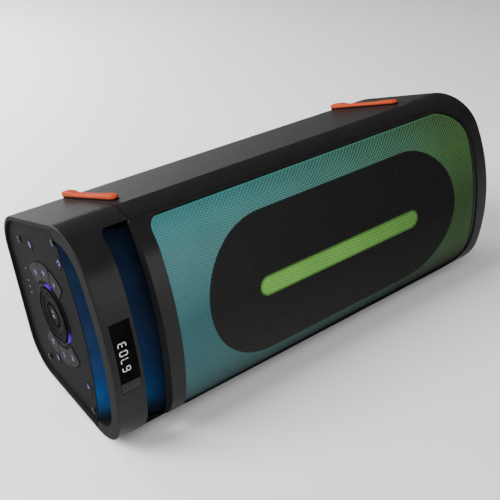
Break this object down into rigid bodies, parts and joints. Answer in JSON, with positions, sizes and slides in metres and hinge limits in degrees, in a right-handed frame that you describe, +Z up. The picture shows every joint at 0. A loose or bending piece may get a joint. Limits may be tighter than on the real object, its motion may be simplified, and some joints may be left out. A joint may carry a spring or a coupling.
{
  "type": "party speaker",
  "caption": "Portable party speaker lying on its side, with a grip slot and control dial at one end and a lit fabric grille over its woofers.",
  "frame": {"origin": "centre of the base of the bounding box, on the surface that the speaker lies on", "axes": "+X along the length away from the control end, -Y towards the listener, +Z up"},
  "size_m": [0.5176, 0.2154, 0.2248],
  "materials": {
    "housing_plastic": "fine matt moulded charcoal",
    "frame_plastic": "matt black",
    "panel_plastic": "matt charcoal",
    "smoked_blue": "smoked ribbed plastic, lit blue from behind",
    "led_blue": "blue light bar",
    "gloss_black": "high gloss",
    "smoked_patch": "smoked satin",
    "circuit_board": "green solder resist",
    "knob_gloss": "piano black with turned rings",
    "led_purple": "lit violet",
    "zinc_part": "bare metal",
    "led_white": "lit white",
    "grille_fabric": "knitted mesh over perforated sheet, lit teal to green",
    "black_fabric": "black knitted mesh",
    "lit_fabric": "knitted mesh, lit yellow green",
    "light_guide": "opal",
    "inner_board": "moulded black",
    "orange_rubber": "soft matt orange",
    "socket_black": "matt black",
    "black_rubber": "soft matt black",
    "port_plastic": "matt black",
    "battery_wrap": "shrink wrap",
    "key_gloss": "gloss black keys",
    "key_matt": "matt keys",
    "screw_steel": "black screws",
    "basket_steel": "black pressed steel",
    "paper_cone": "coated paper and rubber",
    "magnet_iron": "ferrite and steel"
  },
  "bodies": {
    "housing": {"control_end_cap": "housing_plastic", "slot_liner": "smoked_blue", "slot_light_bar": "led_blue", "display_window": "gloss_black", "sensor_window": "smoked_patch", "display_module": "circuit_board", "control_panel": "panel_plastic", "knob_light_ring": "led_purple", "rotary_encoder": "zinc_part", "panel_screw_1": "screw_steel", "panel_screw_2": "screw_steel", "panel_screw_3": "screw_steel", "panel_screw_4": "screw_steel", "indicator_light_pipe": "led_white", "control_board": "circuit_board", "main_cabinet": "housing_plastic", "far_end_cap": "housing_plastic", "end_foot_1": "black_rubber", "end_foot_2": "black_rubber", "end_foot_3": "black_rubber", "end_foot_4": "black_rubber", "front_frame": "frame_plastic", "grille_panel": "grille_fabric", "centre_panel": "black_fabric", "light_slot_lens": "lit_fabric", "slot_led_board": "circuit_board", "grille_light_guide": "light_guide", "baffle": "inner_board", "woofer_left_basket": "basket_steel", "woofer_left_magnet": "magnet_iron", "woofer_right_basket": "basket_steel", "woofer_right_magnet": "magnet_iron", "top_bumper_left": "orange_rubber", "bottom_foot_left": "orange_rubber", "top_bumper_right": "orange_rubber", "bottom_foot_right": "orange_rubber", "jack_panel": "panel_plastic", "microphone_socket": "socket_black", "aux_socket": "socket_black", "usb_socket": "zinc_part", "power_inlet": "socket_black", "bass_port": "port_plastic", "battery_pack": "battery_wrap", "amplifier_board": "circuit_board", "power_supply": "zinc_part"},
    "volume_knob": {"volume_knob": "knob_gloss"},
    "play_button": {"play_button": "knob_gloss"},
    "woofer_cone_left": {"woofer_left_cone": "paper_cone"},
    "woofer_cone_right": {"woofer_right_cone": "paper_cone"},
    "jack_cover": {"jack_cover": "black_rubber"},
    "ring_key_1": {"ring_key_1": "key_gloss"},
    "ring_key_2": {"ring_key_2": "key_gloss"},
    "ring_key_3": {"ring_key_3": "key_gloss"},
    "ring_key_4": {"ring_key_4": "key_gloss"},
    "ring_key_5": {"ring_key_5": "key_gloss"},
    "ring_key_6": {"ring_key_6": "key_gloss"},
    "corner_key_1": {"corner_key_1": "key_matt"},
    "corner_key_2": {"corner_key_2": "key_matt"},
    "corner_key_3": {"corner_key_3": "key_matt"},
    "corner_key_4": {"corner_key_4": "key_matt"}
  },
  "joints": [
    {"name": "volume_turn", "type": "hinge", "parent": "housing", "child": "volume_knob", "pos_m": [-0.25838, 0.01323, 0.10554], "axis": [1, 0, 0], "continuous": true},
    {"name": "play_press", "type": "slide", "parent": "housing", "child": "play_button", "axis": [1, 0, 0], "range_m": [0, 0.0008], "stiffness_N_per_m": 800},
    {"name": "ring_key_1_press", "type": "slide", "parent": "housing", "child": "ring_key_1", "axis": [1, 0, 0], "range_m": [0, 0.0008], "stiffness_N_per_m": 800},
    {"name": "ring_key_2_press", "type": "slide", "parent": "housing", "child": "ring_key_2", "axis": [1, 0, 0], "range_m": [0, 0.0008], "stiffness_N_per_m": 800},
    {"name": "ring_key_3_press", "type": "slide", "parent": "housing", "child": "ring_key_3", "axis": [1, 0, 0], "range_m": [0, 0.0008], "stiffness_N_per_m": 800},
    {"name": "ring_key_4_press", "type": "slide", "parent": "housing", "child": "ring_key_4", "axis": [1, 0, 0], "range_m": [0, 0.0008], "stiffness_N_per_m": 800},
    {"name": "ring_key_5_press", "type": "slide", "parent": "housing", "child": "ring_key_5", "axis": [1, 0, 0], "range_m": [0, 0.0008], "stiffness_N_per_m": 800},
    {"name": "ring_key_6_press", "type": "slide", "parent": "housing", "child": "ring_key_6", "axis": [1, 0, 0], "range_m": [0, 0.0008], "stiffness_N_per_m": 800},
    {"name": "corner_key_1_press", "type": "slide", "parent": "housing", "child": "corner_key_1", "axis": [1, 0, 0], "range_m": [0, 0.0008], "stiffness_N_per_m": 800},
    {"name": "corner_key_2_press", "type": "slide", "parent": "housing", "child": "corner_key_2", "axis": [1, 0, 0], "range_m": [0, 0.0008], "stiffness_N_per_m": 800},
    {"name": "corner_key_3_press", "type": "slide", "parent": "housing", "child": "corner_key_3", "axis": [1, 0, 0], "range_m": [0, 0.0008], "stiffness_N_per_m": 800},
    {"name": "corner_key_4_press", "type": "slide", "parent": "housing", "child": "corner_key_4", "axis": [1, 0, 0], "range_m": [0, 0.0008], "stiffness_N_per_m": 800},
    {"name": "left_cone_travel", "type": "slide", "parent": "housing", "child": "woofer_cone_left", "axis": [0, 0.9869, -0.1615], "range_m": [-0.004, 0.004], "stiffness_N_per_m": 2500},
    {"name": "right_cone_travel", "type": "slide", "parent": "housing", "child": "woofer_cone_right", "axis": [0, 0.9869, -0.1615], "range_m": [-0.004, 0.004], "stiffness_N_per_m": 2500},
    {"name": "jack_cover_hinge", "type": "hinge", "parent": "housing", "child": "jack_cover", "pos_m": [-0.07378, 0.10118, 0.11789], "axis": [1, 0, 0], "range_deg": [0, 100]}
  ]
}
